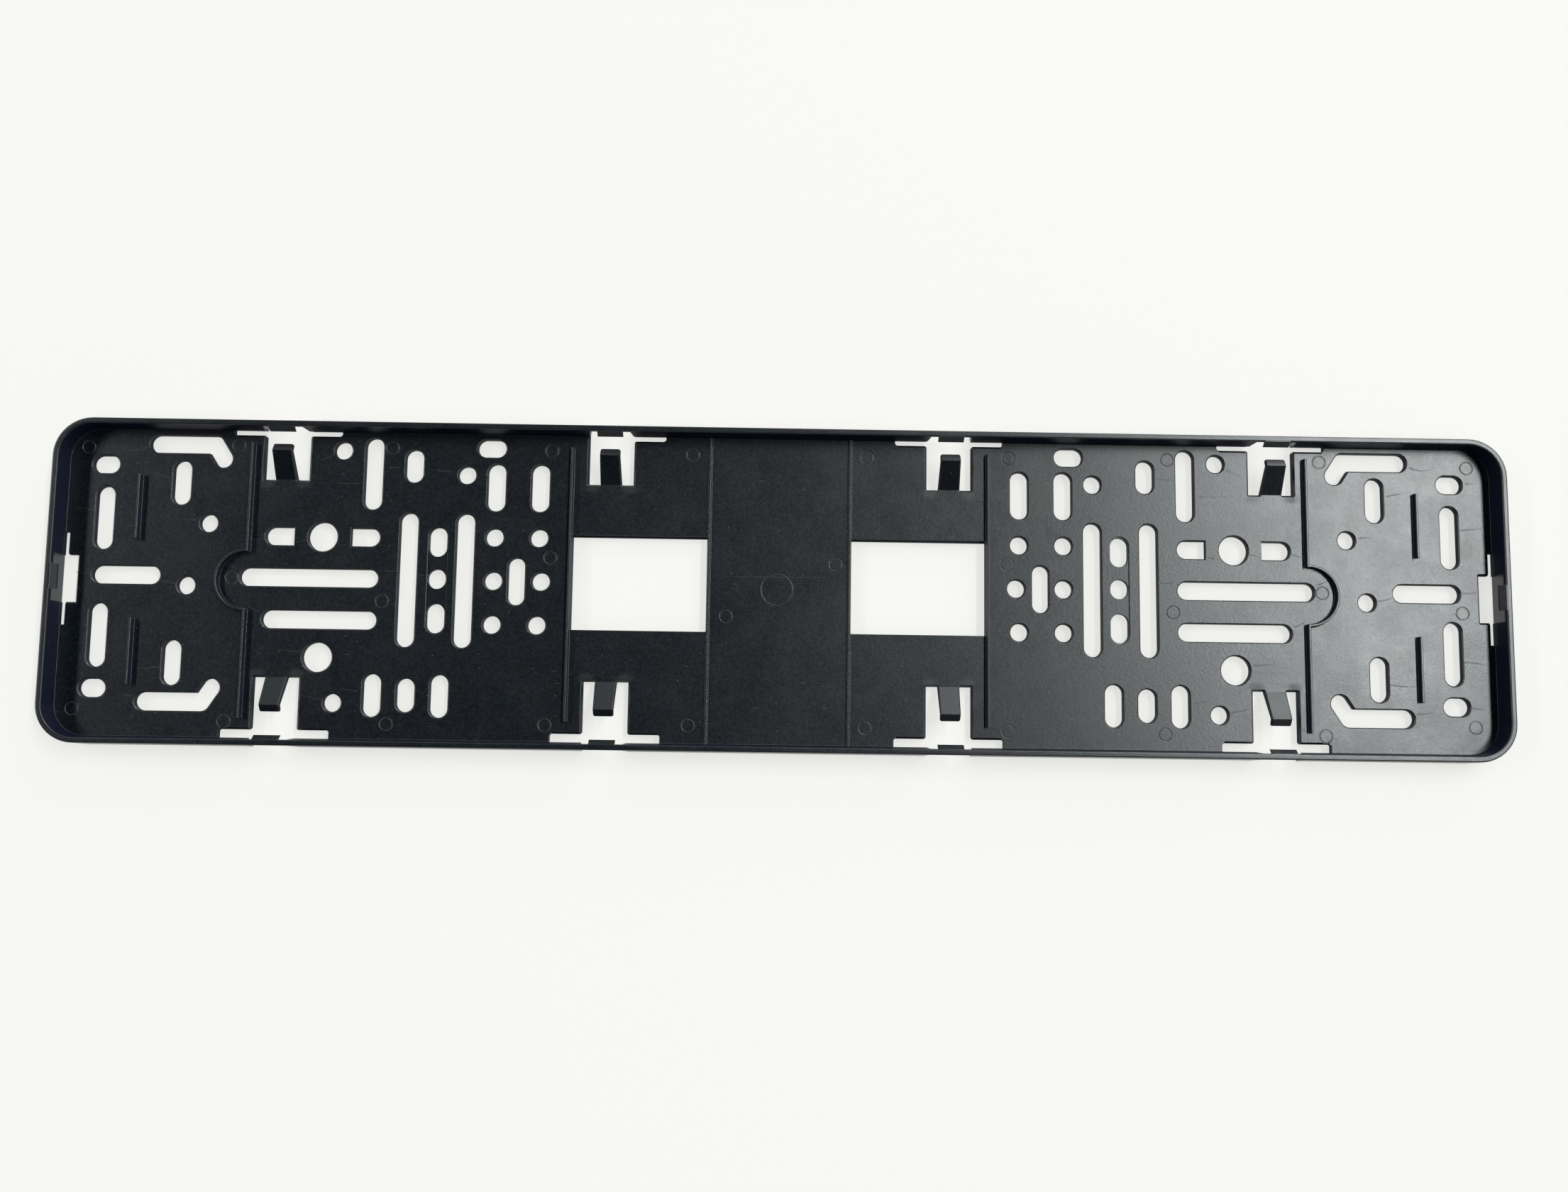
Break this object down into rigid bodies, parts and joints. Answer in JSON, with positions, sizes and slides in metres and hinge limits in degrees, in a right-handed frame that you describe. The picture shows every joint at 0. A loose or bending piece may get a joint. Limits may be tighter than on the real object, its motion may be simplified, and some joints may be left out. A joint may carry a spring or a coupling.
{
  "type": "number plate holder",
  "caption": "Long shallow tray with a raised rim, spring tongues, rim hooks, low ribs, windows and a mirrored pattern of fixing slots and holes, to hold a vehicle number plate.",
  "frame": {"origin": "middle of the tray's outline, at the height of the rim's foot", "axes": "+X along the length to the right, +Y to the upper edge, +Z out of the open side of the tray"},
  "size_m": [0.5318, 0.119, 0.012],
  "materials": {
    "plastic": "black, satin, finely textured"
  },
  "bodies": {
    "root": {"plate_holder": "plastic"}
  },
  "joints": []
}
